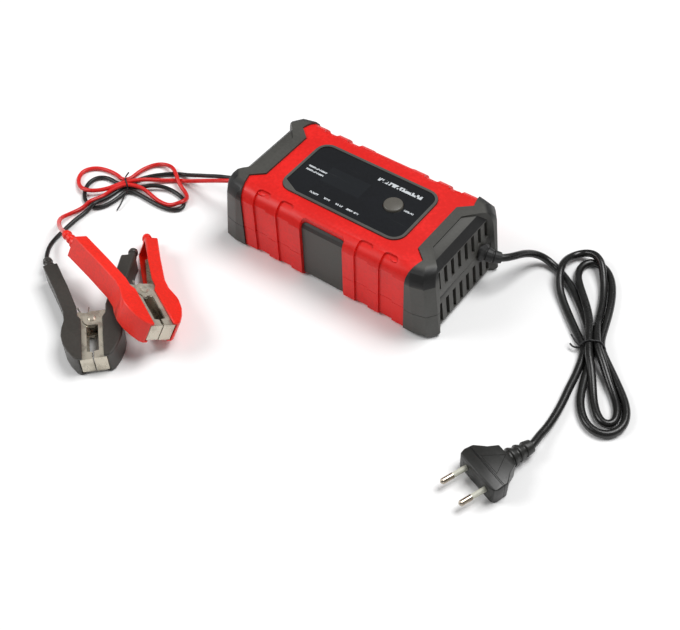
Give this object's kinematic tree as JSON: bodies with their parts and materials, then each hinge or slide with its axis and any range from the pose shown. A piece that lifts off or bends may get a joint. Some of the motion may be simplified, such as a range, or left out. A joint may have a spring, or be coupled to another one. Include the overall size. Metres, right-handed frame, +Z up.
{
  "type": "car battery charger",
  "caption": "Boxy car battery charger with slotted end caps, label panel and button, a tied mains lead with its plug, and battery leads ending in red and black spring clamps.",
  "frame": {"origin": "on the underside of the case, at the middle of its length and width, measured without the leads and clamps", "axes": "+X along the case towards the end that the mains lead leaves, +Z up out of the label panel, -Y towards the long side nearest the viewer"},
  "size_m": [0.4612, 0.2914, 0.0578],
  "materials": {
    "red_shell": "fine satin moulding",
    "grey_shell": "fine textured moulding",
    "grip_plastic": "fine textured moulding",
    "panel_rim": "satin",
    "panel_film": "printed film, white marks",
    "button": "satin",
    "black_plastic": "satin",
    "switch_metal": "satin",
    "circuit_board": "lacquered",
    "screw_steel": "zinc",
    "ferrite": "matt",
    "winding": "enamelled wire",
    "capacitor_sleeve": "shrink sleeve",
    "heat_sink": "extruded",
    "package_black": "moulded",
    "fuse_glass": "clear",
    "pin_metal": "bright pin, light grey sleeve",
    "cord_black": "smooth sheath",
    "cord_red": "smooth sheath",
    "tie_black": "coated wire",
    "gland_rubber": "moulded",
    "clamp_black": "moulded",
    "clamp_red": "moulded",
    "clamp_metal": "nickel plated"
  },
  "bodies": {
    "case": {"red_upper_cover": "red_shell", "red_lower_cover": "red_shell", "upper_cap_mains": "grey_shell", "lower_cap_mains": "grey_shell", "upper_cap_battery": "grey_shell", "lower_cap_battery": "grey_shell", "side_grip_near": "grip_plastic", "side_grip_far": "grip_plastic", "panel_rim": "panel_rim", "panel_film": "panel_film", "plug_body": "black_plastic", "fan_frame": "black_plastic", "display_module": "black_plastic", "tact_switch": "switch_metal", "display_board": "circuit_board", "main_board": "circuit_board", "case_screw_1": "screw_steel", "case_screw_2": "screw_steel", "case_screw_3": "screw_steel", "case_screw_4": "screw_steel", "transformer_core": "ferrite", "transformer_winding": "winding", "toroid_choke": "winding", "bulk_capacitor": "capacitor_sleeve", "output_capacitor": "capacitor_sleeve", "heat_sink": "heat_sink", "power_transistor_1": "package_black", "power_transistor_2": "package_black", "fuse": "fuse_glass", "plug_pin_1": "pin_metal", "plug_pin_2": "pin_metal", "mains_lead_case": "cord_black", "mains_hank": "cord_black", "mains_lead_plug": "cord_black", "black_lead_case": "cord_black", "black_lead_clamp": "cord_black", "battery_hank": "cord_black", "red_lead_case": "cord_red", "red_lead_clamp": "cord_red", "mains_tie": "tie_black", "battery_tie": "tie_black", "mains_gland": "gland_rubber", "battery_gland": "gland_rubber", "black_clamp_fixed_cover": "clamp_black", "black_clamp_boot": "clamp_black", "red_clamp_fixed_cover": "clamp_red", "red_clamp_boot": "clamp_red", "black_clamp_fixed_jaw": "clamp_metal", "black_clamp_rivet": "clamp_metal", "black_clamp_spring": "clamp_metal", "red_clamp_fixed_jaw": "clamp_metal", "red_clamp_rivet": "clamp_metal", "red_clamp_spring": "clamp_metal"},
    "mode_button": {"mode_button": "button", "switch_plunger": "black_plastic"},
    "fan_rotor": {"fan_rotor": "black_plastic"},
    "black_clamp_jaw": {"black_clamp_free_cover": "clamp_black", "black_clamp_free_jaw": "clamp_metal"},
    "red_clamp_jaw": {"red_clamp_free_cover": "clamp_red", "red_clamp_free_jaw": "clamp_metal"}
  },
  "joints": [
    {"name": "mode_button_press", "type": "slide", "parent": "case", "child": "mode_button", "axis": [0, 0, -1], "range_m": [0, 0.0008], "stiffness_N_per_m": 300, "springref_m": -0.001},
    {"name": "fan_spin", "type": "hinge", "parent": "case", "child": "fan_rotor", "pos_m": [-0.07258, 0.014, 0.0245], "axis": [1, 0, 0], "continuous": true},
    {"name": "black_clamp_squeeze", "type": "hinge", "parent": "case", "child": "black_clamp_jaw", "pos_m": [-0.1018, -0.1702, 0.0088], "axis": [0, 0, 1], "range_deg": [0, 30], "stiffness_Nm_per_rad": 0.6, "springref_deg": -28.65},
    {"name": "red_clamp_squeeze", "type": "hinge", "parent": "case", "child": "red_clamp_jaw", "pos_m": [-0.0828, -0.1402, 0.0214], "axis": [0.2151, 0.4001, 0.8909], "range_deg": [0, 30], "stiffness_Nm_per_rad": 0.6, "springref_deg": -28.65}
  ],
  "couplings": [
    {"joint": "red_clamp_squeeze", "follows": "black_clamp_squeeze", "ratio": 1}
  ]
}
